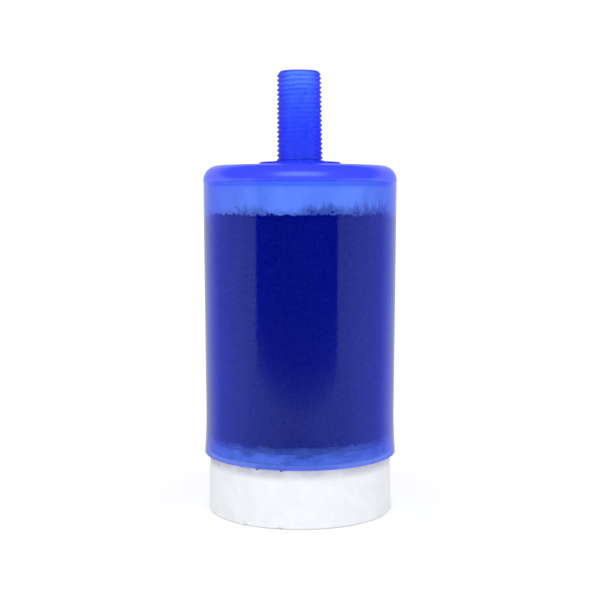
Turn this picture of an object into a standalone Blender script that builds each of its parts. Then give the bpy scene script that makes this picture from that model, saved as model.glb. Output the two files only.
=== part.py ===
"""Charcoal air stone: a clear blue moulded cup with a hollow threaded stem on top.

The cup holds, from the top down, an outlet screen, a white pad, a bed of charcoal
grains and a thin felt, and a white porous stone closes its mouth.

Frame: metres, +Z up along the stem, origin at the centre of the stone's flat foot.
"""

import math

import bmesh
import bpy

MM = 0.001
GAP = 0.3 * MM  # clearance kept between pieces that touch
WELD = 0.01 * MM  # points closer than this are one point
ROUND_STEPS = 48  # sides of a turned piece
SHARP = math.radians(30)

# The stone: a plug with a slight taper and a rebate for its seal.
STONE_FOOT_RADIUS = 25.1 * MM
STONE_SHOULDER_RADIUS = 24.8 * MM
STONE_SHOULDER_HEIGHT = 17.0 * MM
STONE_NECK_RADIUS = 23.5 * MM
STONE_HEIGHT = 19.5 * MM
STONE_CHAMFER = 0.5 * MM
SEAL_THICKNESS = 0.8 * MM

# The cup: its wall narrows down to a waist and flares over the stone.
LIP_HEIGHT = 15.6 * MM
LIP_RADIUS = 26.25 * MM
LIP_ROUND = 0.3 * MM
WAIST_HEIGHT = 27.0 * MM
WAIST_RADIUS = 25.8 * MM
SHOULDER_RADIUS = 26.2 * MM
SHOULDER_ROUND = 4.0 * MM
CUP_TOP = 93.7 * MM
CUP_WALL = 1.05 * MM
CEILING_HEIGHT = 89.7 * MM
CEILING_FILLET = 1.2 * MM

# The stem: a tube with a flange let into the cup's top and a spigot through it.
FLANGE_RADIUS = 11.1 * MM
FLANGE_TOP = 94.7 * MM
FLANGE_THICKNESS = 1.5 * MM
FLANGE_ROUND = 0.4 * MM
SPIGOT_RADIUS = 6.5 * MM
SPIGOT_END = 90.2 * MM
ROOT_RING_RADIUS = 6.7 * MM  # a low ring at the thread's foot, wider than its crests
ROOT_RING_HEIGHT = 0.4 * MM
BORE_RADIUS = 3.5 * MM
BORE_CHAMFER = 0.3 * MM
STEM_TOP = 119.0 * MM
END_CHAMFER = 0.9 * MM

# The thread: 12 mm across its crests at the free end, 1.25 mm pitch, right hand.
THREAD_RADIUS = 6.0 * MM
THREAD_PITCH = 1.25 * MM
THREAD_DEPTH = 0.65 * MM
THREAD_ROOTED = 0.2 * MM  # how far the ridge reaches into the tube
CREST_FLAT = THREAD_PITCH / 8
FLANK_SLOPE = math.tan(math.radians(30))
THREAD_DRAFT = 0.19 * MM  # extra radius at the flange, so that the stem leaves its mould
THREAD_STEPS = 24
THREAD_TURNS = 21

# The filling, from the ceiling down to the stone.
SCREEN_TOP = CEILING_HEIGHT - GAP
SCREEN_THICKNESS = 1.2 * MM
SCREEN_RADIUS = 24.5 * MM
SCREEN_HOLE_RADIUS = 1.8 * MM
SCREEN_HOLE_SIDES = 8
SCREEN_RING_PITCH = 7.0 * MM
SCREEN_RINGS = 3
PAD_TOP = SCREEN_TOP - SCREEN_THICKNESS - GAP
CHARCOAL_TOP = 79.9 * MM
PAD_ROUND = 0.8 * MM
FELT_BOTTOM = STONE_HEIGHT + GAP
FELT_THICKNESS = 1.4 * MM
CHARCOAL_BOTTOM = FELT_BOTTOM + FELT_THICKNESS + GAP


def cup_radius(height):
    """The cup's outer radius: a straight taper down to the waist, then a flare to the lip."""
    if height >= WAIST_HEIGHT:
        share = (height - WAIST_HEIGHT) / (CEILING_HEIGHT - WAIST_HEIGHT)
        return WAIST_RADIUS + (SHOULDER_RADIUS - WAIST_RADIUS) * share
    share = (WAIST_HEIGHT - height) / (WAIST_HEIGHT - LIP_HEIGHT)
    return WAIST_RADIUS + (LIP_RADIUS - WAIST_RADIUS) * share**2


def filling_radius(height):
    """The radius of a piece that fills the cup at this height."""
    return cup_radius(height) - CUP_WALL - GAP


def arc(radius, height, bend, start, end, segments):
    """Outline points on a circle about (radius, height), from one angle to another in degrees."""
    angles = [math.radians(start + (end - start) * i / segments) for i in range(segments + 1)]
    return [(radius + bend * math.cos(a), height + bend * math.sin(a)) for a in angles]


def plain_material(name, colour, roughness, alpha=1.0):
    material = bpy.data.materials.new(name)
    material.use_nodes = True
    shader = material.node_tree.nodes["Principled BSDF"]
    shader.inputs["Base Color"].default_value = (*colour, 1.0)
    shader.inputs["Roughness"].default_value = roughness
    shader.inputs["Metallic"].default_value = 0.0
    shader.inputs["Alpha"].default_value = alpha
    return material


def add_object(name, mesh, collection, material=None):
    piece = bpy.data.objects.new(name, mesh)
    collection.objects.link(piece)
    if material is not None:
        mesh.materials.append(material)
    return piece


def realised(piece):
    """Makes a piece's modifiers part of its mesh."""
    bpy.context.view_layer.update()
    evaluated = piece.evaluated_get(bpy.context.evaluated_depsgraph_get())
    piece.data = bpy.data.meshes.new_from_object(evaluated)
    piece.modifiers.clear()


def turned(name, outline, collection, material=None, ring=False):
    """A solid turned about +Z from (radius, height) points that run down its outer side."""
    edges = [(i, i + 1) for i in range(len(outline) - 1)]
    if ring:
        edges.append((len(outline) - 1, 0))
    mesh = bpy.data.meshes.new(name)
    mesh.from_pydata([(radius, 0.0, height) for radius, height in outline], edges, [])
    piece = add_object(name, mesh, collection, material)
    screw = piece.modifiers.new("turn", "SCREW")
    screw.steps = screw.render_steps = ROUND_STEPS
    screw.use_merge_vertices = True
    screw.merge_threshold = WELD
    realised(piece)
    piece.data.shade_smooth()
    piece.data.set_sharp_from_angle(angle=SHARP)
    return piece


def as_cutter(piece):
    piece.hide_render = True
    piece.display_type = "WIRE"


def combine(piece, other, operation):
    boolean = piece.modifiers.new(operation.lower(), "BOOLEAN")
    boolean.operation = operation
    boolean.object = other


def make_stone(collection):
    outline = [
        (0.0, STONE_HEIGHT),
        (STONE_NECK_RADIUS, STONE_HEIGHT),
        (STONE_NECK_RADIUS, STONE_SHOULDER_HEIGHT),
        (STONE_SHOULDER_RADIUS, STONE_SHOULDER_HEIGHT),
        (STONE_FOOT_RADIUS, STONE_CHAMFER),
        (STONE_FOOT_RADIUS - STONE_CHAMFER, 0.0),
        (0.0, 0.0),
    ]
    material = plain_material("stone_white", (0.87, 0.88, 0.88), 0.9)
    return turned("porous_stone", outline, collection, material)


def make_seal(collection):
    """The bead of sealant in the stone's rebate."""
    inner = STONE_NECK_RADIUS + GAP
    low = STONE_SHOULDER_HEIGHT + GAP
    outline = [
        (inner, STONE_HEIGHT),
        (inner + SEAL_THICKNESS, STONE_HEIGHT),
        (inner + SEAL_THICKNESS, low),
        (inner, low),
    ]
    material = plain_material("sealant_white", (0.8, 0.82, 0.86), 0.45)
    return turned("stone_seal", outline, collection, material, ring=True)


def make_cup(collection):
    recess_radius = FLANGE_RADIUS + GAP
    recess_floor = FLANGE_TOP - FLANGE_THICKNESS - GAP
    flare = [WAIST_HEIGHT + (LIP_HEIGHT + LIP_ROUND - WAIST_HEIGHT) * i / 4 for i in range(5)]
    outer_lip = LIP_RADIUS - LIP_ROUND
    inner_lip = LIP_RADIUS - CUP_WALL + LIP_ROUND
    ceiling_radius = SHOULDER_RADIUS - CUP_WALL - CEILING_FILLET
    outline = [
        (SPIGOT_RADIUS + GAP, recess_floor),
        (recess_radius, recess_floor),
        (recess_radius, CUP_TOP),
        *arc(SHOULDER_RADIUS - SHOULDER_ROUND, CEILING_HEIGHT, SHOULDER_ROUND, 90, 0, 8),
        *[(cup_radius(height), height) for height in flare],
        *arc(outer_lip, LIP_HEIGHT + LIP_ROUND, LIP_ROUND, -45, -90, 1),
        *arc(inner_lip, LIP_HEIGHT + LIP_ROUND, LIP_ROUND, -90, -135, 1),
        *[(cup_radius(height) - CUP_WALL, height) for height in reversed(flare)],
        *arc(ceiling_radius, CEILING_HEIGHT - CEILING_FILLET, CEILING_FILLET, 0, 90, 4),
        (SPIGOT_RADIUS + GAP, CEILING_HEIGHT),
    ]
    material = plain_material("cup_blue", (0.05, 0.09, 0.92), 0.12, alpha=0.5)
    return turned("cup_shell", outline, collection, material, ring=True)


def thread_ridge(cutters):
    """One long helical ridge, closed at both ends and widened towards the flange."""
    root = THREAD_RADIUS - THREAD_DEPTH
    foot_height = CREST_FLAT / 2 + (THREAD_DEPTH + THREAD_ROOTED) * FLANK_SLOPE
    section = [
        (THREAD_RADIUS, CREST_FLAT / 2),
        (THREAD_RADIUS, -CREST_FLAT / 2),
        (root - THREAD_ROOTED, -foot_height),
        (root - THREAD_ROOTED, foot_height),
    ]
    start = FLANGE_TOP - FLANGE_THICKNESS / 2
    corners = [(radius, 0.0, start + height) for radius, height in section]
    mesh = bpy.data.meshes.new("thread_ridge")
    mesh.from_pydata(corners, [(0, 1), (1, 2), (2, 3), (3, 0)], [])
    ridge = add_object("thread_ridge", mesh, cutters)
    screw = ridge.modifiers.new("thread", "SCREW")
    screw.steps = screw.render_steps = THREAD_STEPS
    screw.screw_offset = THREAD_PITCH
    screw.iterations = THREAD_TURNS
    realised(ridge)
    shape = bmesh.new()
    shape.from_mesh(ridge.data)
    bmesh.ops.remove_doubles(shape, verts=shape.verts, dist=WELD)
    ends = [edge for edge in shape.edges if edge.is_boundary]
    bmesh.ops.holes_fill(shape, edges=ends)
    for point in shape.verts:
        share = min(1.0, max(0.0, (STEM_TOP - point.co.z) / (STEM_TOP - FLANGE_TOP)))
        widened = 1 + THREAD_DRAFT * share / math.hypot(point.co.x, point.co.y)
        point.co.xy = point.co.xy * widened
    bmesh.ops.recalc_face_normals(shape, faces=shape.faces)
    shape.to_mesh(ridge.data)
    shape.free()
    return ridge


def stem_end_cutter(cutters):
    """Trims the stem to its length, and chamfers its thread and its bore's mouth."""
    end_radius = THREAD_RADIUS - END_CHAMFER
    reach = FLANGE_RADIUS - end_radius
    mouth = BORE_RADIUS + BORE_CHAMFER
    outline = [
        (0.0, STEM_TOP + 2 * THREAD_PITCH),
        (FLANGE_RADIUS, STEM_TOP + 2 * THREAD_PITCH),
        (FLANGE_RADIUS, STEM_TOP - reach),
        (end_radius, STEM_TOP),
        (mouth, STEM_TOP),
        (mouth - 2 * BORE_CHAMFER, STEM_TOP - 2 * BORE_CHAMFER),
        (0.0, STEM_TOP - 2 * BORE_CHAMFER),
    ]
    cutter = turned("stem_end_cutter", outline, cutters)
    as_cutter(cutter)
    return cutter


def make_stem(collection, cutters):
    root_radius = THREAD_RADIUS - THREAD_DEPTH
    flange_bottom = FLANGE_TOP - FLANGE_THICKNESS
    outline = [
        (BORE_RADIUS, STEM_TOP + THREAD_PITCH / 2),
        (root_radius, STEM_TOP + THREAD_PITCH / 2),
        (root_radius + THREAD_DRAFT, FLANGE_TOP + ROOT_RING_HEIGHT),
        (ROOT_RING_RADIUS, FLANGE_TOP + ROOT_RING_HEIGHT),
        (ROOT_RING_RADIUS, FLANGE_TOP),
        *arc(FLANGE_RADIUS - FLANGE_ROUND, FLANGE_TOP - FLANGE_ROUND, FLANGE_ROUND, 90, 0, 3),
        (FLANGE_RADIUS, flange_bottom),
        (SPIGOT_RADIUS, flange_bottom),
        (SPIGOT_RADIUS, SPIGOT_END),
        (BORE_RADIUS, SPIGOT_END),
    ]
    material = plain_material("stem_blue", (0.03, 0.06, 0.9), 0.2, alpha=0.85)
    stem = turned("threaded_stem", outline, collection, material, ring=True)
    ridge = thread_ridge(cutters)
    as_cutter(ridge)
    combine(stem, ridge, "UNION")
    combine(stem, stem_end_cutter(cutters), "DIFFERENCE")
    return stem


def make_screen(collection, cutters):
    """A perforated disc that keeps the pad out of the stem's bore."""
    bottom = SCREEN_TOP - SCREEN_THICKNESS
    outline = [(0.0, SCREEN_TOP), (SCREEN_RADIUS, SCREEN_TOP), (SCREEN_RADIUS, bottom), (0.0, bottom)]
    material = plain_material("screen_plastic", (0.55, 0.6, 0.75), 0.4)
    screen = turned("outlet_screen", outline, collection, material)

    drills = bmesh.new()
    for ring in range(SCREEN_RINGS + 1):
        holes = max(1, 6 * ring)
        for hole in range(holes):
            made = bmesh.ops.create_cone(
                drills,
                cap_ends=True,
                segments=SCREEN_HOLE_SIDES,
                radius1=SCREEN_HOLE_RADIUS,
                radius2=SCREEN_HOLE_RADIUS,
                depth=3 * SCREEN_THICKNESS,
            )
            turn = 2 * math.pi * hole / holes
            reach = ring * SCREEN_RING_PITCH
            place = (reach * math.cos(turn), reach * math.sin(turn), (SCREEN_TOP + bottom) / 2)
            bmesh.ops.translate(drills, verts=made["verts"], vec=place)
    mesh = bpy.data.meshes.new("screen_drills")
    drills.to_mesh(mesh)
    drills.free()
    cutter = add_object("screen_drills", mesh, cutters)
    as_cutter(cutter)
    combine(screen, cutter, "DIFFERENCE")
    return screen


def filling(name, top, bottom, edge_round, collection, material):
    """A soft round layer that fills the cup from one height to another."""
    outline = [
        (0.0, top),
        *arc(filling_radius(top) - edge_round, top - edge_round, edge_round, 90, 0, 3),
        *arc(filling_radius(bottom) - edge_round, bottom + edge_round, edge_round, 0, -90, 3),
        (0.0, bottom),
    ]
    if bottom < WAIST_HEIGHT < top:
        outline.insert(5, (filling_radius(WAIST_HEIGHT), WAIST_HEIGHT))
    return turned(name, outline, collection, material)


def make_fillings(collection):
    white = plain_material("pad_white", (0.85, 0.86, 0.88), 0.95)
    black = plain_material("charcoal_black", (0.012, 0.012, 0.014), 0.8)
    felt = plain_material("felt_white", (0.82, 0.83, 0.86), 0.95)
    felt_top = FELT_BOTTOM + FELT_THICKNESS
    felt_round = FELT_THICKNESS / 4
    filling("top_pad", PAD_TOP, CHARCOAL_TOP + GAP, PAD_ROUND, collection, white)
    filling("charcoal_bed", CHARCOAL_TOP, CHARCOAL_BOTTOM, PAD_ROUND, collection, black)
    filling("lower_felt", felt_top, FELT_BOTTOM, felt_round, collection, felt)


def main():
    for leftover in list(bpy.data.objects):
        bpy.data.objects.remove(leftover, do_unlink=True)
    parts = bpy.data.collections.new("air_stone")
    cutters = bpy.data.collections.new("cutters")
    bpy.context.scene.collection.children.link(parts)
    bpy.context.scene.collection.children.link(cutters)
    make_stone(parts)
    make_seal(parts)
    make_cup(parts)
    make_stem(parts, cutters)
    make_screen(parts, cutters)
    make_fillings(parts)


main()
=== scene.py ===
"""The looks of a charcoal air stone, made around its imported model.

A clear blue cup with a hollow threaded stem holds, from the top down, an outlet screen, a pad of
wadding, a bed of charcoal grains and a felt. A white porous stone, sealed in with a bead of
sealant, closes the cup's mouth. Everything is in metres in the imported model's frame: +Z up along
the stem, with the stone's foot on the floor round the origin.
"""

import math
import random

import bmesh
import bpy
from mathutils import Matrix, Vector, noise


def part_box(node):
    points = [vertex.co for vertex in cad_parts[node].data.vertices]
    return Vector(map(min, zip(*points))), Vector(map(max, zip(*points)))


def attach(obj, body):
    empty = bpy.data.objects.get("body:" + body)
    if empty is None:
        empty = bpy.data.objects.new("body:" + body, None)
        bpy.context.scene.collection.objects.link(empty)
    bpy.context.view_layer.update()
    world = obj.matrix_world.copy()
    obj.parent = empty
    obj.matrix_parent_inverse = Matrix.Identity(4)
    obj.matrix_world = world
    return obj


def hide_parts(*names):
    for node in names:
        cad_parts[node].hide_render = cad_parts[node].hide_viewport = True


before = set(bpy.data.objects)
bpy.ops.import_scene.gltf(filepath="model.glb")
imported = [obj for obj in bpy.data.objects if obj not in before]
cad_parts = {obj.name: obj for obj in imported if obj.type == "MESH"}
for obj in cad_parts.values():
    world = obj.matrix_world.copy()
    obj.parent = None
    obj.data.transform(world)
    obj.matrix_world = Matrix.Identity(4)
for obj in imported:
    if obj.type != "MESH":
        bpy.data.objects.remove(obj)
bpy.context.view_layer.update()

MM = 0.001
WELD = 0.001 * MM
FULL_TURN = 2 * math.pi

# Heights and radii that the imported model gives.
CUP_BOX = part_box("cup_shell")
STEM_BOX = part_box("threaded_stem")
STONE_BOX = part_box("porous_stone")
SCREEN_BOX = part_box("outlet_screen")
PAD_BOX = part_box("top_pad")
COAL_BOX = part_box("charcoal_bed")
FELT_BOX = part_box("lower_felt")

# The cup: a straight taper down to the waist, then a flare to the lip.
LIP_HEIGHT = CUP_BOX[0].z
LIP_RADIUS = CUP_BOX[1].x
LIP_ROUND = 0.3 * MM
WAIST_HEIGHT = 27.0 * MM
WAIST_RADIUS = 25.8 * MM
SHOULDER_RADIUS = 26.2 * MM
SHOULDER_ROUND = 4.0 * MM
CUP_TOP = CUP_BOX[1].z
CUP_WALL = 1.05 * MM
SHOULDER_HEIGHT = 89.7 * MM
CEILING_HEIGHT = SCREEN_BOX[1].z + 0.3 * MM
CEILING_FILLET = 0.5 * MM
CUP_SIDES = 288

# The stone: a neck inside the cup, with a shoulder just above the cup's lip.
STONE_NECK_RADIUS = 23.5 * MM
STONE_SHOULDER = 17.0 * MM
STONE_SHOULDER_RADIUS = 24.8 * MM
STONE_CHAMFER = 0.35 * MM
CHIPPED_RIM = (23.6 * MM, 24.8 * MM)

# What fills the cup stops short of its wall by this much.
WALL_GAP = 0.1 * MM

# The stem: a threaded tube on a flange, with a spigot below. THREAD_START is in pitches from the
# thread's foot, and THREAD_DRAFT is how much wider the thread is at its foot than at its top.
FLANGE_RADIUS = 11.1 * MM
FLANGE_TOP = 94.7 * MM
FLANGE_THICKNESS = 1.5 * MM
FLANGE_ROUND = 0.4 * MM
ROOT_RING_RADIUS = 6.7 * MM
ROOT_RING_HEIGHT = 0.4 * MM
ROOT_RING_ROUND = 0.15 * MM
THREAD_FOOT = FLANGE_TOP + ROOT_RING_HEIGHT
SPIGOT_RADIUS = 6.5 * MM
SPIGOT_END = STEM_BOX[0].z
BORE_RADIUS = 3.5 * MM
BORE_ROUND = 0.3 * MM
STEM_TOP = STEM_BOX[1].z
END_CHAMFER = 0.9 * MM
THREAD_RADIUS = 6.0 * MM
END_RADIUS = THREAD_RADIUS - END_CHAMFER
THREAD_PITCH = 1.25 * MM
THREAD_DEPTH = 0.43 * MM
THREAD_START = -1.86
THREAD_DRAFT = 0.25 * MM
THREAD_SIDES = 144
TOOTH_POINTS = 10
STEM_LEAN = math.radians(0.55)
MOULD_MARKS = ((27, 100.1 * MM), (12, 97.2 * MM))
MARK_RADIUS = 0.9 * MM
MARK_RISE = 0.22 * MM

# The stem's flange lies in a seat in the cup's top.
SEAT_GAP = 0.03 * MM
SEAT_ROUND = 0.2 * MM

# The charcoal: GRAIN is about half a grain's width. Crumbs are (angle in degrees, half width).
GRAIN = 0.8 * MM
GRAIN_PITCH = 1.4 * MM
GRAIN_GAP = 0.12 * MM
CRUMBS = (
    (-127, 0.32 * MM),
    (-116, 0.42 * MM),
    (-114, 0.25 * MM),
    (-101, 0.4 * MM),
    (-99, 0.26 * MM),
    (-40, 0.3 * MM),
    (95, 0.35 * MM),
)


def cup_radius(height):
    """The cup's outer radius at a height."""
    if height >= WAIST_HEIGHT:
        share = (height - WAIST_HEIGHT) / (SHOULDER_HEIGHT - WAIST_HEIGHT)
        return WAIST_RADIUS + (SHOULDER_RADIUS - WAIST_RADIUS) * share
    share = (WAIST_HEIGHT - height) / (WAIST_HEIGHT - LIP_HEIGHT)
    return WAIST_RADIUS + (LIP_RADIUS - WAIST_RADIUS) * share**2


def inside_radius(height):
    """The radius of the cup's inner wall at a height."""
    return cup_radius(height) - CUP_WALL


def spread(start, end, count):
    """Evenly spaced values from start to end, both included."""
    return [start + (end - start) * i / (count - 1) for i in range(count)]


def arc(radius, height, bend, start, end, segments):
    """Outline points on a circle about (radius, height), from one angle to another in degrees."""
    angles = [math.radians(angle) for angle in spread(start, end, segments + 1)]
    return [(radius + bend * math.cos(a), height + bend * math.sin(a)) for a in angles]


def smooth_step(low, high, value):
    """0 below low, 1 above high, with an eased climb between them."""
    share = min(1.0, max(0.0, (value - low) / (high - low)))
    return share * share * (3 - 2 * share)


# Mesh tools


def spun(outline, sides, ring=False):
    """A shape turned about +Z from (radius, height) points."""
    shape = bmesh.new()
    points = [shape.verts.new((radius, 0.0, height)) for radius, height in outline]
    edges = [shape.edges.new(pair) for pair in zip(points, points[1:])]
    if ring:
        edges.append(shape.edges.new((points[-1], points[0])))
    bmesh.ops.spin(
        shape,
        geom=points + edges,
        cent=(0, 0, 0),
        axis=(0, 0, 1),
        angle=FULL_TURN,
        steps=sides,
        use_merge=True,
    )
    bmesh.ops.remove_doubles(shape, verts=shape.verts, dist=WELD)
    bmesh.ops.recalc_face_normals(shape, faces=shape.faces)
    return shape


def radius_of(point):
    """A point's distance from the cup's axis."""
    return math.hypot(point.co.x, point.co.y)


def set_radius(point, radius):
    """Moves a point straight out from the cup's axis, or in, to a radius."""
    point.co.xy = point.co.xy * (radius / radius_of(point))


def next_ring(shape, edges, radius, height):
    """Extrudes a loop of edges to a level circle and returns the circle's edges."""
    made = bmesh.ops.extrude_edge_only(shape, edges=edges)["geom"]
    for point in made:
        if isinstance(point, bmesh.types.BMVert):
            set_radius(point, radius)
            point.co.z = height
    return [edge for edge in made if isinstance(edge, bmesh.types.BMEdge)]


def object_from(shape, name, finish):
    """Puts a bmesh into the scene as an object with one finish."""
    mesh = bpy.data.meshes.new(name)
    shape.to_mesh(mesh)
    shape.free()
    mesh.materials.append(finish)
    made = bpy.data.objects.new(name, mesh)
    bpy.context.scene.collection.objects.link(made)
    return made


def piece_from(shape, name, finish, sharp_angle=math.radians(35)):
    """Turns a bmesh into a smooth-shaded object at the origin that rides on the part."""
    bmesh.ops.recalc_face_normals(shape, faces=shape.faces)
    piece = object_from(shape, name, finish)
    piece.data.shade_smooth()
    piece.data.set_sharp_from_angle(angle=sharp_angle)
    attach(piece, "root")
    return piece


# Material tools


def blank_finish(name):
    """A material with only its output node, and that material's object coordinates."""
    finish = bpy.data.materials.new(name)
    finish.use_nodes = True
    tree = finish.node_tree
    tree.nodes.clear()
    add_node(tree, "ShaderNodeOutputMaterial", name="output")
    place = add_node(tree, "ShaderNodeTexCoord").outputs["Object"]
    return finish, tree, place


def add_node(tree, kind, inputs=None, **settings):
    """A node with its settings, whose inputs take either a value or another node's socket."""
    made = tree.nodes.new(kind)
    for key, value in settings.items():
        setattr(made, key, value)
    for key, value in (inputs or {}).items():
        socket = made.inputs[key]
        if isinstance(value, bpy.types.NodeSocket):
            tree.links.new(value, socket)
        elif socket.type == "RGBA":
            socket.default_value = (*value, 1.0)
        else:
            socket.default_value = value
    return made


def noise_of(tree, place, size, detail=3.0, roughness=0.5, distortion=0.0):
    """A noise between 0 and 1 whose features are about as wide as size."""
    made = add_node(
        tree,
        "ShaderNodeTexNoise",
        {
            "Vector": place,
            "Scale": 0.5 / size,
            "Detail": detail,
            "Roughness": roughness,
            "Distortion": distortion,
        },
    )
    return made.outputs["Fac"]


def stretched(tree, place, scale):
    """Coordinates scaled along each axis: below 1 draws a pattern out, above 1 squeezes it."""
    return add_node(tree, "ShaderNodeMapping", {"Vector": place, "Scale": scale}).outputs["Vector"]


def ranged(tree, value, low, high, to_low=0.0, to_high=1.0, smooth=False):
    """Maps a value's range from low..high to to_low..to_high."""
    made = add_node(
        tree,
        "ShaderNodeMapRange",
        {
            "Value": value,
            "From Min": low,
            "From Max": high,
            "To Min": to_low,
            "To Max": to_high,
        },
        interpolation_type="SMOOTHSTEP" if smooth else "LINEAR",
    )
    return made.outputs["Result"]


def maths(tree, operation, first, second):
    """The result of a sum on two numbers, each a value or a socket."""
    made = add_node(tree, "ShaderNodeMath", {0: first, 1: second}, operation=operation)
    return made.outputs["Value"]


def vector_maths(tree, operation, *vectors):
    """A node that works on one vector or two, each a value or a socket."""
    return add_node(tree, "ShaderNodeVectorMath", dict(enumerate(vectors)), operation=operation)


def blend_colour(tree, share, first, second):
    """A colour between two colours, each a value or a socket."""
    made = add_node(tree, "ShaderNodeMix", {"Factor": share, 6: first, 7: second}, data_type="RGBA")
    return made.outputs[2]


def blend_value(tree, share, first, second):
    """A number between two numbers, each a value or a socket."""
    made = add_node(tree, "ShaderNodeMix", {"Factor": share, 2: first, 3: second}, data_type="FLOAT")
    return made.outputs[0]


def height_in(tree, place):
    """The height part of a place."""
    return add_node(tree, "ShaderNodeSeparateXYZ", {"Vector": place}).outputs["Z"]


def banded(tree, height, stops):
    """A colour that changes with height through (height, colour) stops, lowest first."""
    low, high = stops[0][0], stops[-1][0]
    made = add_node(tree, "ShaderNodeValToRGB", {"Fac": ranged(tree, height, low, high)})
    marks = made.color_ramp.elements
    marks[0].color = (*stops[0][1], 1.0)
    marks[1].color = (*stops[-1][1], 1.0)
    for level, colour in stops[1:-1]:
        marks.new((level - low) / (high - low)).color = (*colour, 1.0)
    return made.outputs["Color"]


def bump_from(tree, height, depth, normal=None):
    """A normal roughened by a pattern that rises by depth from 0 to 1."""
    inputs = {"Height": height, "Strength": 1.0, "Distance": depth}
    if normal is not None:
        inputs["Normal"] = normal
    return add_node(tree, "ShaderNodeBump", inputs).outputs["Normal"]


def show(tree, shader):
    """Joins a shader to its material's output."""
    tree.links.new(shader.outputs[0], tree.nodes["output"].inputs["Surface"])


def show_opaque(tree, colour, roughness, normal, shine=0.5):
    """Joins an opaque surface to its material's output."""
    shader = add_node(
        tree,
        "ShaderNodeBsdfPrincipled",
        {
            "Base Color": colour,
            "Roughness": roughness,
            "Specular IOR Level": shine,
            "Normal": normal,
        },
    )
    show(tree, shader)


# Finishes


def rounded_normal(tree, place, normal, share):
    """A normal turned part of the way towards straight out from the stem's axis, on the thread only.

    Light spreads inside a cloudy thread, which evens out the shading between its flanks.
    """
    flat = vector_maths(tree, "MULTIPLY", place, (1, 1, 0)).outputs["Vector"]
    out = vector_maths(tree, "NORMALIZE", flat).outputs["Vector"]
    away = vector_maths(tree, "LENGTH", flat).outputs["Value"]
    above_foot = ranged(tree, height_in(tree, place), THREAD_FOOT + 0.02 * MM, THREAD_FOOT + 0.2 * MM)
    off_end_face = ranged(tree, away, END_RADIUS - 0.5 * MM, END_RADIUS - 0.1 * MM)
    on_thread = maths(tree, "MULTIPLY", above_foot, off_end_face)
    share = maths(tree, "MULTIPLY", share, on_thread)
    mixed = add_node(tree, "ShaderNodeMix", {"Factor": share, 4: normal, 5: out}, data_type="VECTOR")
    return vector_maths(tree, "NORMALIZE", mixed.outputs[1]).outputs["Vector"]


def clear_plastic(name, look):
    """Tinted see-through plastic with a milky share that grows towards grazing sight.

    look gives tint and roughness as a pair, for the thin and for the thick plastic. edge is the
    pair of heights between which the one gives way to the other. milk and rim_milk are stops up
    the height, for sight straight in and for grazing sight, where the wall shows what it holds.
    rim is how far sight grazes where rim_milk sets in and where it is alone. milk_share is how
    milky the plastic is straight in and at grazing sight; rim_share, thick_share and lip_share
    add to it. scratch and ripple are depths of bump. softened, on a thread, is two heights and
    how round the thread is shaded at each. glow is how far light spreads inside.
    """
    finish, tree, place = blank_finish(name)
    height = height_in(tree, place)
    thickness = ranged(tree, height, *look["edge"], smooth=True)
    cloud = noise_of(tree, stretched(tree, place, (1, 1, 0.35)), 9 * MM, detail=2.0)
    scuffs = noise_of(tree, stretched(tree, place, (1, 1, 0.08)), 0.5 * MM, detail=4.0)
    scuffs = blend_value(tree, thickness, scuffs, 0.5)
    ripple = noise_of(tree, place, 5 * MM, detail=1.0)

    surface = bump_from(tree, scuffs, look["scratch"])
    surface = bump_from(tree, ripple, look["ripple"], surface)
    if look["softened"]:
        surface = rounded_normal(tree, place, surface, ranged(tree, height, *look["softened"]))
    facing = add_node(tree, "ShaderNodeLayerWeight", {"Blend": 0.5, "Normal": surface}).outputs["Facing"]
    slope = ranged(tree, maths(tree, "POWER", facing, 1.3), 0.0, 1.0, *look["milk_share"])
    rim = ranged(tree, facing, *look["rim"], smooth=True)
    milky = maths(tree, "ADD", slope, maths(tree, "MULTIPLY", rim, look["rim_share"]))
    milky = maths(tree, "ADD", milky, maths(tree, "MULTIPLY", thickness, look["thick_share"]))
    lip = ranged(tree, height, LIP_HEIGHT + MILKY_LIP, LIP_HEIGHT, 0.0, look["lip_share"], smooth=True)
    milky = maths(tree, "ADD", milky, lip)
    milky = maths(tree, "MULTIPLY", milky, ranged(tree, cloud, 0.3, 0.7, 0.94, 1.06))
    behind = add_node(tree, "ShaderNodeNewGeometry").outputs["Backfacing"]
    share = maths(tree, "MULTIPLY", milky, maths(tree, "SUBTRACT", 1.0, behind))

    tint = blend_colour(tree, thickness, *look["tint"])
    body = banded(tree, height, look["milk"])
    body = blend_colour(tree, rim, body, banded(tree, height, look["rim_milk"]))
    dull = ranged(tree, thickness, 0.0, 1.0, *look["roughness"])
    gloss = add_node(
        tree,
        "ShaderNodeBsdfPrincipled",
        {
            "Base Color": body,
            "Roughness": maths(tree, "MULTIPLY", dull, ranged(tree, scuffs, 0.35, 0.7, 0.8, 1.4)),
            "IOR": look["ior"],
            "Specular Tint": look["gloss_tint"],
            "Subsurface Weight": look["glow"],
            "Subsurface Radius": (0.15, 0.25, 1.0),
            "Subsurface Scale": 4 * MM,
            "Normal": surface,
        },
    )
    gloss.inputs["Roughness"].default_value = look["roughness"][0]
    clear = add_node(tree, "ShaderNodeBsdfTransparent", {"Color": tint})
    mixed = add_node(tree, "ShaderNodeMixShader", {"Fac": share})
    tree.links.new(clear.outputs[0], mixed.inputs[1])
    tree.links.new(gloss.outputs[0], mixed.inputs[2])
    show(tree, mixed)
    return finish


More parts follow.
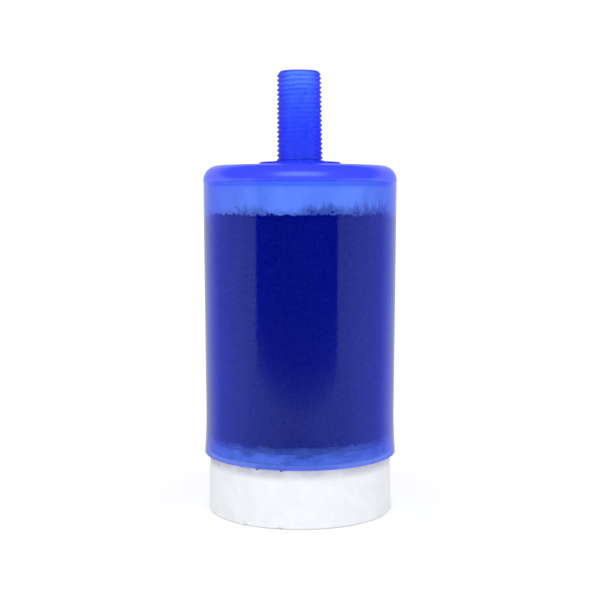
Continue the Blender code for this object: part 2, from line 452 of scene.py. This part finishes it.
MILKY_LIP = 2.2 * MM
CUP_LOOK = {
    "edge": (89.15 * MM, 89.45 * MM),
    "tint": ((0.65, 0.78, 1.0), (0.18, 0.23, 1.0)),
    "milk": [
        (LIP_HEIGHT, (0.05, 0.07, 0.7)),
        (LIP_HEIGHT + 0.6 * MM, (0.06, 0.1, 0.75)),
        (LIP_HEIGHT + 1.1 * MM, (0.11, 0.2, 1.0)),
        (LIP_HEIGHT + 1.6 * MM, (0.05, 0.13, 1.0)),
        (LIP_HEIGHT + MILKY_LIP, (0.012, 0.04, 0.95)),
        (21.0 * MM, (0.003, 0.014, 0.86)),
        (24.0 * MM, (0.002, 0.0105, 0.82)),
        (89.1 * MM, (0.002, 0.0105, 0.82)),
        (89.3 * MM, (0.036, 0.075, 1.0)),
        (89.7 * MM, (0.032, 0.058, 1.0)),
        (90.1 * MM, (0.021, 0.038, 1.0)),
    ],
    "milk_share": (0.2, 0.72),
    "lip_share": 0.5,
    "rim": (0.42, 0.8),
    "rim_milk": [
        (LIP_HEIGHT, (0.035, 0.08, 0.7)),
        (20.0 * MM, (0.038, 0.075, 0.57)),
        (22.2 * MM, (0.02, 0.045, 0.43)),
        (79.2 * MM, (0.02, 0.045, 0.43)),
        (81.0 * MM, (0.045, 0.1, 0.75)),
        (88.0 * MM, (0.055, 0.12, 0.8)),
        (90.2 * MM, (0.028, 0.055, 1.0)),
    ],
    "rim_share": 0.5,
    "thick_share": 0.6,
    "roughness": (0.07, 0.25),
    "ior": 2.1,
    "gloss_tint": (0.72, 0.95, 1.0),
    "scratch": 0.0004 * MM,
    "ripple": 0.02 * MM,
    "softened": None,
    "glow": 0.0,
}
STEM_LOOK = {
    "edge": (97 * MM, 119 * MM),
    "tint": ((0.3, 0.42, 1.0), (0.55, 0.7, 1.0)),
    # These stops lighten up the thread as a painted highlight for the light falling on its upper turns; the
    # last stop is a painted shade along the top edge.
    "milk": [
        (97.6 * MM, (0.036, 0.075, 1.0)),
        (102.9 * MM, (0.029, 0.07, 1.0)),
        (108.2 * MM, (0.04, 0.093, 1.0)),
        (113.5 * MM, (0.052, 0.128, 1.0)),
        (117.4 * MM, (0.088, 0.205, 1.0)),
        (118.5 * MM, (0.08, 0.18, 1.0)),
        (118.9 * MM, (0.03, 0.05, 0.6)),
    ],
    "milk_share": (0.95, 1.0),
    "lip_share": 0.0,
    "rim": (0.0, 0.7),
    "rim_milk": [(97 * MM, (0.0, 0.0, 0.8)), (119 * MM, (0.01, 0.02, 0.82))],
    "rim_share": 0.3,
    "thick_share": 0.0,
    "roughness": (0.25, 0.2),
    "ior": 1.25,
    "gloss_tint": (0.8, 0.85, 1.0),
    "scratch": 0.0,
    "ripple": 0.0,
    "softened": (112 * MM, 117 * MM, 1.0, 0.55),
    "glow": 1.0,
}


def wadding_finish():
    """Loose white polyester fibre, greyed by charcoal dust that climbs from its lower face, with painted
    shade along its top.
    """
    finish, tree, place = blank_finish("pad_white")
    fibres = noise_of(tree, stretched(tree, place, (1, 1, 0.4)), 0.25 * MM, 6.0, 0.65, 1.5)
    clumps = noise_of(tree, stretched(tree, place, (1, 1, 0.5)), 2.6 * MM, 3.0, 0.6)
    streaks = noise_of(tree, stretched(tree, place, (1, 1, 0.3)), 0.9 * MM, 4.0, 0.6)
    drifts = noise_of(tree, stretched(tree, place, (1, 1, 0.1)), 8 * MM, 2.0)
    climb = maths(tree, "MULTIPLY", ranged(tree, drifts, 0.4, 0.68), ranged(tree, streaks, 0.35, 0.65))
    reach = ranged(tree, climb, 0.0, 1.0, PAD_BOX[0].z + 0.8 * MM, PAD_BOX[0].z + 6 * MM)
    over = maths(tree, "SUBTRACT", reach, height_in(tree, place))
    dust = ranged(tree, over, -1.4 * MM, 2.4 * MM, 0.0, 0.7, smooth=True)
    white = blend_colour(tree, ranged(tree, clumps, 0.35, 0.65), (0.74, 0.75, 0.79), (0.93, 0.94, 0.96))
    # Painted shade: the pad's top millimetre is darkened and turned blue, standing in for the shade in its
    # rounded crown under the screen.
    towards_top = ranged(tree, height_in(tree, place), 86.9 * MM, 87.9 * MM, smooth=True)
    white = blend_colour(tree, towards_top, white, (0.74, 0.78, 0.96))
    colour = blend_colour(tree, dust, white, (0.14, 0.14, 0.17))
    show_opaque(tree, colour, 0.95, bump_from(tree, fibres, 0.12 * MM), 0.15)
    return finish


def charcoal_finish():
    """Black grains with a faint grey sheen on their broken faces."""
    finish, tree, place = blank_finish("charcoal_black")
    patches = noise_of(tree, place, 1.2 * MM, 3.0)
    pores = noise_of(tree, place, 0.12 * MM, 4.0, 0.6)
    colour = blend_colour(tree, ranged(tree, patches, 0.35, 0.7), (0.008, 0.008, 0.009), (0.018, 0.018, 0.02))
    roughness = ranged(tree, patches, 0.3, 0.7, 0.6, 0.95)
    show_opaque(tree, colour, roughness, bump_from(tree, pores, 0.04 * MM), 0.1)
    return finish


def felt_finish():
    """White needled felt, peppered with charcoal dust."""
    finish, tree, place = blank_finish("felt_white")
    fibres = noise_of(tree, place, 0.2 * MM, 6.0, 0.65, 1.0)
    grime = noise_of(tree, stretched(tree, place, (1, 1, 2.2)), 2.2 * MM, 5.0, 0.65)
    level = ranged(tree, height_in(tree, place), FELT_BOX[0].z, COAL_BOX[0].z, 0.02, 0.36)
    grime = maths(tree, "ADD", grime, level)
    colour = blend_colour(tree, ranged(tree, grime, 0.4, 0.85), (0.31, 0.32, 0.39), (0.04, 0.04, 0.06))
    show_opaque(tree, colour, 0.95, bump_from(tree, fibres, 0.1 * MM), 0.15)
    return finish


def stone_finish():
    """White bonded grit: mottled, with bright grains and a few grey specks, and a painted shadow just below
    the cup's lip.
    """
    finish, tree, place = blank_finish("stone_white")
    mottle = noise_of(tree, place, 2.5 * MM, 4.0, 0.6)
    grit = noise_of(tree, place, 0.3 * MM, 5.0, 0.6)
    cells = add_node(tree, "ShaderNodeTexVoronoi", {"Vector": place, "Scale": 1 / (1.1 * MM)})
    fleck = ranged(tree, cells.outputs["Distance"], 0.1, 0.35, 0.25, 0.0)
    base = blend_colour(tree, ranged(tree, mottle, 0.35, 0.65), (0.68, 0.695, 0.725), (0.725, 0.735, 0.76))
    colour = blend_colour(tree, maths(tree, "MULTIPLY", fleck, mottle), base, (0.92, 0.93, 0.95))
    smears = noise_of(tree, stretched(tree, place, (1, 1, 2.2)), 2.5 * MM, 5.0, 0.6)
    dust = blend_colour(tree, ranged(tree, smears, 0.4, 0.7), (0.72, 0.74, 0.8), (0.42, 0.43, 0.5))
    inside = ranged(tree, height_in(tree, place), LIP_HEIGHT, LIP_HEIGHT + 0.8 * MM)
    colour = blend_colour(tree, inside, colour, dust)
    height = height_in(tree, place)
    # Painted shadow: a band just below the cup's lip is darkened towards bluish grey, deeper in mottled
    # patches, standing in for the shade under the lip's overhang.
    shade = ranged(tree, height, LIP_HEIGHT - 3.5 * MM, LIP_HEIGHT - 1.2 * MM, smooth=True)
    painted_shadow_depth = ranged(tree, mottle, 0.3, 0.7, 0.17, 0.5)
    colour = blend_colour(tree, maths(tree, "MULTIPLY", shade, painted_shadow_depth), colour, (0.16, 0.16, 0.24))
    roughness = ranged(tree, grit, 0.3, 0.7, 0.75, 0.95)
    show_opaque(tree, colour, roughness, bump_from(tree, grit, 0.08 * MM), 0.3)
    return finish


def screen_finish():
    """Pale blue moulded plastic with a fine matt texture."""
    finish, tree, place = blank_finish("screen_plastic")
    grain = noise_of(tree, place, 0.3 * MM, 3.0)
    cloud = noise_of(tree, place, 6.0 * MM, 2.0)
    colour = blend_colour(tree, ranged(tree, cloud, 0.35, 0.65), (0.62, 0.66, 0.98), (0.7, 0.73, 1.0))
    roughness = ranged(tree, grain, 0.3, 0.7, 0.35, 0.5)
    show_opaque(tree, colour, roughness, bump_from(tree, grain, 0.01 * MM))
    return finish


def sealant_finish():
    """Set white sealant, slightly lumpy."""
    finish, tree, place = blank_finish("sealant_white")
    lumps = noise_of(tree, place, 1.5 * MM, 3.0)
    smears = noise_of(tree, stretched(tree, place, (1, 1, 2.2)), 2.4 * MM, 5.0, 0.65)
    level = ranged(tree, height_in(tree, place), STONE_SHOULDER + 0.6 * MM, FELT_BOX[0].z, 0.0, 0.2)
    smears = maths(tree, "ADD", smears, level)
    colour = blend_colour(tree, ranged(tree, smears, 0.38, 0.78), (0.58, 0.6, 0.74), (0.17, 0.18, 0.26))
    roughness = ranged(tree, lumps, 0.3, 0.7, 0.35, 0.55)
    show_opaque(tree, colour, roughness, bump_from(tree, lumps, 0.08 * MM))
    return finish


# Pieces


def make_cup(finish):
    """The cup's wall, top and lip, turned in one piece."""
    ceiling_radius = SHOULDER_RADIUS - CUP_WALL - CEILING_FILLET
    seat_radius = FLANGE_RADIUS + SEAT_GAP
    seat_floor = FLANGE_TOP - FLANGE_THICKNESS - SEAT_GAP
    flare = spread(WAIST_HEIGHT, LIP_HEIGHT + LIP_ROUND, 9)
    outline = [
        (SPIGOT_RADIUS + SEAT_GAP, seat_floor),
        (seat_radius, seat_floor),
        *arc(seat_radius + SEAT_ROUND, CUP_TOP - SEAT_ROUND, SEAT_ROUND, 180, 90, 3),
        *arc(SHOULDER_RADIUS - SHOULDER_ROUND, SHOULDER_HEIGHT, SHOULDER_ROUND, 90, 0, 20),
        *[(cup_radius(height), height) for height in flare],
        *arc(LIP_RADIUS - LIP_ROUND, LIP_HEIGHT + LIP_ROUND, LIP_ROUND, -15, -90, 4),
        *arc(LIP_RADIUS - CUP_WALL + LIP_ROUND, LIP_HEIGHT + LIP_ROUND, LIP_ROUND, -90, -165, 4),
        *[(inside_radius(height), height) for height in reversed(flare)],
        *arc(ceiling_radius, CEILING_HEIGHT - CEILING_FILLET, CEILING_FILLET, 0, 90, 8),
        (SPIGOT_RADIUS + SEAT_GAP, CEILING_HEIGHT),
    ]
    cup = piece_from(spun(outline, CUP_SIDES, ring=True), "clear_cup", finish)
    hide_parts("cup_shell")
    return cup


def tooth_rise(share):
    """How far the thread stands above its root, 0 to 1, at a share of one pitch."""
    from_crest = abs((share % 1.0) - 0.5)
    return 1 - smooth_step(0.04, 0.38, from_crest)


def thread_skin():
    """The outside of the threaded tube: a helix cut level at both ends, narrowed to the end chamfer."""
    root = THREAD_RADIUS - THREAD_DEPTH
    pitches = math.ceil((STEM_TOP - THREAD_FOOT) / THREAD_PITCH) + 2
    shape = bmesh.new()
    points = []
    for i in range(pitches * TOOTH_POINTS + 1):
        share = i / TOOTH_POINTS
        radius = root + THREAD_DEPTH * tooth_rise(share)
        height = THREAD_FOOT + (share + THREAD_START) * THREAD_PITCH
        points.append(shape.verts.new((radius, 0.0, height)))
    edges = [shape.edges.new(pair) for pair in zip(points, points[1:])]
    bmesh.ops.spin(
        shape,
        geom=points + edges,
        cent=(0, 0, 0),
        axis=(0, 0, 1),
        dvec=(0, 0, THREAD_PITCH / THREAD_SIDES),
        angle=FULL_TURN,
        steps=THREAD_SIDES,
    )
    bmesh.ops.remove_doubles(shape, verts=shape.verts, dist=WELD)
    for level, away in ((THREAD_FOOT, -1), (STEM_TOP, 1)):
        bmesh.ops.bisect_plane(
            shape,
            geom=shape.verts[:] + shape.edges[:] + shape.faces[:],
            dist=WELD,
            plane_co=(0, 0, level),
            plane_no=(0, 0, away),
            clear_outer=True,
        )
    for point in shape.verts:
        drop = STEM_TOP - point.co.z
        radius = radius_of(point) + THREAD_DRAFT * drop / (STEM_TOP - FLANGE_TOP)
        set_radius(point, min(radius, END_RADIUS + drop))
    return shape


def make_stem(finish):
    """A tube with a helical thread, a root ring, a flange and a spigot, made as one skin."""
    shape = thread_skin()
    open_edges = [edge for edge in shape.edges if edge.is_boundary]
    middle = (THREAD_FOOT + STEM_TOP) / 2
    top = [edge for edge in open_edges if edge.verts[0].co.z > middle]
    foot = [edge for edge in open_edges if edge.verts[0].co.z < middle]

    flange_bottom = FLANGE_TOP - FLANGE_THICKNESS
    outward = [
        *arc(ROOT_RING_RADIUS - ROOT_RING_ROUND, THREAD_FOOT - ROOT_RING_ROUND, ROOT_RING_ROUND, 90, 0, 3),
        *arc(ROOT_RING_RADIUS + ROOT_RING_ROUND, FLANGE_TOP + ROOT_RING_ROUND, ROOT_RING_ROUND, 180, 270, 3),
        *arc(FLANGE_RADIUS - FLANGE_ROUND, FLANGE_TOP - FLANGE_ROUND, FLANGE_ROUND, 90, 0, 6),
        (FLANGE_RADIUS, flange_bottom),
        (SPIGOT_RADIUS, flange_bottom),
        (SPIGOT_RADIUS, SPIGOT_END),
    ]
    inward = [
        *arc(BORE_RADIUS + BORE_ROUND, STEM_TOP - BORE_ROUND, BORE_ROUND, 90, 180, 4),
        (BORE_RADIUS, SPIGOT_END),
    ]
    for radius, height in outward:
        foot = next_ring(shape, foot, radius, height)
    for radius, height in inward:
        top = next_ring(shape, top, radius, height)
    bmesh.ops.bridge_loops(shape, edges=foot + top)
    add_mould_marks(shape)
    for point in shape.verts:
        point.co.x -= math.tan(STEM_LEAN) * max(0.0, point.co.z - THREAD_FOOT)
    stem = piece_from(shape, "threaded_stem_detail", finish)
    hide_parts("threaded_stem")
    return stem


def add_mould_marks(shape):
    """Two small pips low on the thread."""
    for angle, height in MOULD_MARKS:
        turn = math.radians(angle - 90)
        pip = Vector((THREAD_RADIUS * math.cos(turn), THREAD_RADIUS * math.sin(turn), height))
        for point in shape.verts:
            away = (point.co - pip).length
            if away < MARK_RADIUS and radius_of(point) > BORE_RADIUS + MM:
                raised = 1 - smooth_step(0.2 * MM, MARK_RADIUS, away)
                set_radius(point, radius_of(point) + MARK_RISE * raised)


def soft_disc(low, high, rounds, side_rows, sides):
    """A thick disc that fills the cup, with rounded rims (lower, upper) and rows of points up its side."""
    low_round, top_round = rounds
    top_radius = inside_radius(high) - WALL_GAP
    low_radius = inside_radius(low) - WALL_GAP
    rings = 12
    outline = [(top_radius * share, high) for share in spread(0.0, 0.94, rings)]
    outline += arc(top_radius - top_round, high - top_round, top_round, 80, 0, 4)
    heights = spread(high - top_round, low + low_round, side_rows + 2)[1:-1]
    outline += [(inside_radius(height) - WALL_GAP, height) for height in heights]
    outline += arc(low_radius - low_round, low + low_round, low_round, 0, -80, 4)
    outline += [(low_radius * share, low) for share in spread(0.94, 0.0, rings)]
    return spun(outline, sides)


def ruffle(shape, size, depth, seed, weight=None):
    """Sinks each point along its normal by a fractal noise with features of about size.

    weight gives each point's share of the depth.
    """
    shape.normal_update()
    shift = Vector((seed, seed * 0.7, -seed))
    moves = []
    for point in shape.verts:
        sink = 0.5 - noise.fractal(point.co / size + shift, 0.7, 2.1, 4)
        share = weight(point) if weight else 1.0
        moves.append(point.normal * (-depth * share * min(1.4, max(0.0, sink))))
    for point, move in zip(shape.verts, moves):
        point.co += move


def make_pad(finish):
    """Wadding pressed up against the screen, with grains pushed into its lower face."""
    low = PAD_BOX[0].z
    high = SCREEN_BOX[0].z - SEAT_GAP
    shape = soft_disc(low, high, (0.6 * MM, 0.12 * MM), 20, 300)

    def dented(point):
        near_foot = 1 - smooth_step(0.2 * MM, 2.6 * MM, point.co.z - low)
        return (0.3 + 2.2 * near_foot) * smooth_step(0.1 * MM, 0.8 * MM, high - point.co.z)

    ruffle(shape, 2.2 * MM, 0.3 * MM, 3.1, dented)
    ruffle(shape, 0.7 * MM, 0.12 * MM, 8.4, dented)
    pad = piece_from(shape, "fibre_pad", finish, math.pi)
    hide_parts("top_pad")
    return pad


def make_felt(finish):
    """Felt between the stone's neck and the bed of grains."""
    low = STONE_BOX[1].z + SEAT_GAP
    high = COAL_BOX[0].z - SEAT_GAP
    shape = soft_disc(low, high, (0.1 * MM, 0.3 * MM), 6, 300)

    def towards_top(point):
        return smooth_step(low + 0.3 * MM, high, point.co.z)

    ruffle(shape, 1.2 * MM, 0.5 * MM, 5.7, towards_top)
    felt = piece_from(shape, "felt_pad", finish, math.pi)
    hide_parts("lower_felt")
    return felt


def make_sealant(finish):
    """A bead smeared round the stone's neck, up against the cup's wall."""
    low = STONE_SHOULDER + SEAT_GAP
    high = STONE_BOX[1].z
    inner = STONE_NECK_RADIUS + SEAT_GAP
    outline = [(inner, height) for height in spread(low, high, 8)]
    outline += [(inside_radius(height) - WALL_GAP, height) for height in spread(high, low, 12)]
    shape = spun(outline, 300, ring=True)

    def exposed(point):
        return smooth_step(0.2 * MM, 0.5 * MM, min(point.co.z - low, high - point.co.z))

    ruffle(shape, 1.6 * MM, 0.12 * MM, 2.3, exposed)
    bead = piece_from(shape, "sealant_bead", finish)
    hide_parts("stone_seal")
    return bead


def coal_level(angle):
    """How far the bed's surface stands above its mean height at an angle round the cup."""
    lumps = noise.noise(Vector((3.0 * math.cos(angle), 3.0 * math.sin(angle), 4.0)))
    return 0.5 * MM * lumps + 0.9 * MM * smooth_step(0.78, 1.0, math.cos(angle + 0.1))


def add_grain(ring, place, size, dice):
    """One crushed grain, turned and stretched at random."""
    turn = Matrix.Rotation(dice.uniform(0, FULL_TURN), 4, Vector([dice.gauss(0, 1) for _ in "xyz"]))
    stretch = Matrix.Diagonal([dice.uniform(0.75, 1.15) for _ in "xyz"] + [1.0])
    matrix = Matrix.Translation(place) @ turn @ stretch
    bmesh.ops.create_icosphere(ring, subdivisions=1, radius=size, matrix=matrix)


def join_ring(bed, ring):
    """Moves a small bmesh's grains into the bed."""
    mesh = bpy.data.meshes.new("grain_ring")
    ring.to_mesh(mesh)
    ring.free()
    bed.from_mesh(mesh)
    bpy.data.meshes.remove(mesh)


def add_grains(bed, radius, height, count, dice, level=None):
    """Adds a level ring of grains to the bed."""
    ring = bmesh.new()
    for i in range(count):
        angle = FULL_TURN * (i + dice.uniform(-0.3, 0.3)) / count
        size = GRAIN * dice.uniform(0.6, 1.1)
        lift = dice.uniform(-0.45, 0.45) * GRAIN
        if level:
            lift += level(angle) + max(0.0, dice.gauss(-0.2, 0.7)) * GRAIN
        away = radius - size * dice.uniform(0.85, 1.3)
        place = Vector((away * math.cos(angle), away * math.sin(angle), height + lift))
        add_grain(ring, place, size, dice)
    join_ring(bed, ring)


def add_strays(bed, height, step, count, dice):
    """Adds small grains caught between the wall and its neighbour, ever fewer away from the bed."""
    ring = bmesh.new()
    for _ in range(count):
        angle = dice.uniform(0, FULL_TURN)
        size = GRAIN * dice.uniform(0.25, 0.6)
        level = height + step * dice.expovariate(1.0)
        away = inside_radius(level) - size * 1.15 - 0.05 * MM
        add_grain(ring, Vector((away * math.cos(angle), away * math.sin(angle), level)), size, dice)
    join_ring(bed, ring)


def add_crumbs(bed, dice):
    """Adds a few crumbs caught between the stone and the cup's lip."""
    ring = bmesh.new()
    for degrees, size in CRUMBS:
        angle = math.radians(degrees)
        away = STONE_SHOULDER_RADIUS + size
        place = Vector((away * math.cos(angle), away * math.sin(angle), LIP_HEIGHT - 0.4 * size))
        add_grain(ring, place, size, dice)
    join_ring(bed, ring)


def make_charcoal(finish):
    """Crushed grains round a plain core, levelled off unevenly at the top."""
    low = COAL_BOX[0].z
    high = COAL_BOX[1].z
    core_top = high - GRAIN
    core_low = low + GRAIN
    core_radius = inside_radius(WAIST_HEIGHT) - 1.5 * GRAIN
    outline = [(0.0, core_top), (core_radius, core_top), (core_radius, core_low), (0.0, core_low)]
    bed = spun(outline, 64)
    dice = random.Random(11)
    rows = round((high - low - GRAIN) / (0.7 * GRAIN_PITCH))
    for height in spread(low + 0.8 * GRAIN, high - 0.9 * GRAIN, rows):
        wall = inside_radius(height) - GRAIN_GAP
        count = round(FULL_TURN * wall / GRAIN_PITCH)
        top_row = height > high - 2 * GRAIN
        add_grains(bed, wall, height, count, dice, coal_level if top_row else None)
    for height in (high - 0.7 * GRAIN, low + 0.8 * GRAIN):
        wall = inside_radius(height) - GRAIN_GAP - GRAIN_PITCH
        for radius in spread(wall, 1.5 * GRAIN_PITCH, round(wall / GRAIN_PITCH)):
            count = max(5, round(FULL_TURN * radius / GRAIN_PITCH))
            add_grains(bed, radius, height, count, dice)
    add_strays(bed, high, 0.9 * MM, 150, dice)
    add_strays(bed, low, -0.5 * MM, 120, dice)
    add_crumbs(bed, dice)
    coal = piece_from(bed, "charcoal_grains", finish, math.radians(20))
    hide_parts("charcoal_bed")
    return coal


def make_stone(finish):
    """The porous plug: a grainy turned body with a nicked lower rim."""
    foot = STONE_BOX[0].z
    neck_top = STONE_BOX[1].z
    foot_radius = STONE_BOX[1].x
    side = spread(STONE_SHOULDER - STONE_CHAMFER, foot + STONE_CHAMFER, 60)
    outline = [(STONE_NECK_RADIUS * share, neck_top) for share in spread(0.0, 1.0, 24)]
    outline += [(STONE_NECK_RADIUS, height) for height in spread(neck_top, STONE_SHOULDER, 9)[1:]]
    outline += [((STONE_NECK_RADIUS + STONE_SHOULDER_RADIUS) / 2, STONE_SHOULDER)]
    shoulder_centre = (STONE_SHOULDER_RADIUS - STONE_CHAMFER, STONE_SHOULDER - STONE_CHAMFER)
    outline += arc(*shoulder_centre, STONE_CHAMFER, 90, 20, 3)
    for height in side:
        share = (STONE_SHOULDER - height) / STONE_SHOULDER
        outline.append((STONE_SHOULDER_RADIUS + (foot_radius - STONE_SHOULDER_RADIUS) * share, height))
    outline += arc(foot_radius - STONE_CHAMFER, foot + STONE_CHAMFER, STONE_CHAMFER, -20, -90, 3)
    outline += [(foot_radius * share, foot) for share in spread(0.97, 0.0, 48)]
    shape = spun(outline, 400)
    grain_stone(shape, foot)
    stone = piece_from(shape, "porous_stone_body", finish, math.pi)
    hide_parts("porous_stone")
    return stone


def grain_stone(shape, foot):
    """Grit and pits over the stone, with chips out of its lower rim."""
    shape.normal_update()
    moves = []
    for point in shape.verts:
        grit = noise.noise(point.co / (0.45 * MM))
        lumps = noise.noise(point.co / (1.8 * MM) + Vector((3, 1, 7)))
        depth = -0.07 * MM + 0.06 * MM * grit + 0.04 * MM * lumps
        near_rim = smooth_step(*CHIPPED_RIM, radius_of(point))
        near_rim *= 1 - smooth_step(0.3 * MM, 1.3 * MM, point.co.z - foot)
        chip = noise.noise(point.co / (2.6 * MM) + Vector((9, 2, 5)))
        depth -= near_rim * 0.9 * MM * smooth_step(0.25, 0.7, chip)
        moves.append(point.normal * depth)
    for point, move in zip(shape.verts, moves):
        point.co += move
        point.co.z = max(foot, point.co.z)


def dress_screen(finish):
    """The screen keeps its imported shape."""
    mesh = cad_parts["outlet_screen"].data
    mesh.materials.clear()
    mesh.materials.append(finish)


# Studio

DOME_RADIUS = 1.3
KEY_PLACE = (0.0, -0.48, 0.45)
KEY_AIM = (0, 0, 0.09)
KEY_HEIGHT = 0.32
KEYS = (("key", 0.56, 0.7), ("key_middle", 0.36, 0.5))
CAMERA_PLACE = (0, -0.3187, 0.0845)
CAMERA_DIP = 4.9

# What the gloss mirrors at each level direction, from the front (-1) to the back (1).
SURROUND_RING = ((-1, 1.0), (-0.3, 1.0), (0.0, 0.88), (0.35, 0.68), (0.6, 0.6), (0.83, 0.58), (1, 0.75))

# What the gloss mirrors at each height of the flag.
FLAG_CLIMB = ((-0.018, 1.0), (-0.005, 0.42), (0.002, 0.24), (0.012, 0.12), (0.04, 0.02), (0.06, 0.0))


def card(name, corner, across, up, finish):
    """A flat rectangle from a corner and its two sides."""
    shape = bmesh.new()
    bmesh.ops.create_grid(shape, x_segments=1, y_segments=1, size=0.5)
    bmesh.ops.translate(shape, verts=shape.verts, vec=(0.5, 0.5, 0))
    across, up = Vector(across), Vector(up)
    for point in shape.verts:
        point.co = Vector(corner) + across * point.co.x + up * point.co.y
    made = object_from(shape, name, finish)
    return made


def matt_finish(name, colour):
    """A plain matt surface."""
    finish, tree, _ = blank_finish(name)
    show(tree, add_node(tree, "ShaderNodeBsdfDiffuse", {"Color": colour}))
    return finish


def glowing_finish(name, value_at):
    """Soft light whose strength comes from a function of the material's tree and coordinates."""
    finish, tree, place = blank_finish(name)
    grey = value_at(tree, place)
    show(tree, add_node(tree, "ShaderNodeEmission", {"Color": grey}))
    finish.cycles.emission_sampling = "NONE"
    return finish


def grey_stops(stops):
    """Stops of grey from (level, lightness) pairs."""
    return [(level, (light, light, light)) for level, light in stops]


def surround_tone(tree, place):
    """What the gloss mirrors: bright in front, dimmer at the sides and behind, dim overhead."""
    aim = vector_maths(tree, "NORMALIZE", place).outputs["Vector"]
    parts = add_node(tree, "ShaderNodeSeparateXYZ", {"Vector": aim}).outputs
    level = vector_maths(tree, "NORMALIZE", stretched(tree, aim, (1, 1, 0))).outputs["Vector"]
    along = add_node(tree, "ShaderNodeSeparateXYZ", {"Vector": level}).outputs["Y"]
    ring = banded(tree, along, grey_stops(SURROUND_RING))
    warmer = ranged(tree, parts["X"], -1.0, 1.0, 1.06, 0.94)
    ring = blend_colour(tree, maths(tree, "SUBTRACT", 1.0, warmer), ring, (0, 0, 0))
    behind = maths(tree, "MAXIMUM", parts["Y"], 0.0)
    climb = maths(tree, "SUBTRACT", parts["Z"], maths(tree, "MULTIPLY", behind, 0.9))
    high = ranged(tree, climb, 0.01, 0.25, smooth=True)
    return blend_colour(tree, high, ring, (0.1, 0.1, 0.1))


def flag_tone(tree, place):
    """Black, lifting to the floor's white at the foot."""
    return banded(tree, height_in(tree, place), grey_stops(FLAG_CLIMB))


def only_in_gloss(made):
    """Hides a stage object from everything but mirror-like reflections."""
    made.visible_camera = False
    made.visible_diffuse = False
    made.visible_transmission = False
    made.visible_shadow = False


def make_floor():
    """A wide white floor that the gloss doesn't mirror."""
    floor = card("floor", (-3, -3, 0), (6, 0, 0), (0, 6, 0), matt_finish("floor_white", (1, 1, 1)))
    floor.visible_glossy = False


def make_surround():
    """A dome that the gloss mirrors, and in front of the part a flag that leaves a dark strip in it."""
    shape = bmesh.new()
    bmesh.ops.create_uvsphere(shape, u_segments=48, v_segments=24, radius=DOME_RADIUS)
    dome = object_from(shape, "surround", glowing_finish("surround_grey", surround_tone))
    flag_grey = glowing_finish("flag_grey", flag_tone)
    flag = card("front_flag", (-0.320, -0.262, -0.018), (0.564, 0, 0), (0, 0, 0.202), flag_grey)
    only_in_gloss(dome)
    only_in_gloss(flag)


def make_light(name, place, aim, width, height, watts):
    """A soft rectangular light turned to a point."""
    data = bpy.data.lights.new(name, "AREA")
    data.shape = "RECTANGLE"
    data.size = width
    data.size_y = height
    data.energy = watts
    light = bpy.data.objects.new(name, data)
    light.location = place
    light.rotation_euler = (Vector(aim) - Vector(place)).to_track_quat("-Z", "Y").to_euler()
    light.visible_camera = False
    bpy.context.scene.collection.objects.link(light)
    return light


def make_studio():
    """White surroundings, keys that only the gloss shows, and a fill that it doesn't."""
    scene = bpy.context.scene
    world = bpy.data.worlds.new("studio")
    world.use_nodes = True
    background = world.node_tree.nodes["Background"]
    background.inputs["Color"].default_value = (1, 1, 1, 1)
    background.inputs["Strength"].default_value = 1.1
    scene.world = world
    scene.view_settings.view_transform = "Standard"
    make_floor()
    make_surround()
    for name, width, watts in KEYS:
        key = make_light(name, KEY_PLACE, KEY_AIM, width, KEY_HEIGHT, watts)
        key.visible_diffuse = False
    fill = make_light("fill", (0.0, -0.62, 0.12), (0, 0, 0.08), 0.8, 0.3, 1.35)
    fill.visible_glossy = False


def make_camera():
    """The main view, from the front and a little above."""
    data = bpy.data.cameras.new("camera")
    data.lens = 70.04
    data.sensor_width = 36
    camera = bpy.data.objects.new("camera", data)
    camera.location = CAMERA_PLACE
    camera.rotation_euler = (math.radians(90 - CAMERA_DIP), 0, 0)
    bpy.context.scene.collection.objects.link(camera)
    bpy.context.scene.camera = camera


def main():
    """Makes every piece, then the studio and the camera."""
    make_cup(clear_plastic("cup_blue", CUP_LOOK))
    make_stem(clear_plastic("stem_blue", STEM_LOOK))
    make_pad(wadding_finish())
    make_charcoal(charcoal_finish())
    make_felt(felt_finish())
    make_stone(stone_finish())
    make_sealant(sealant_finish())
    dress_screen(screen_finish())
    make_studio()
    make_camera()


main()
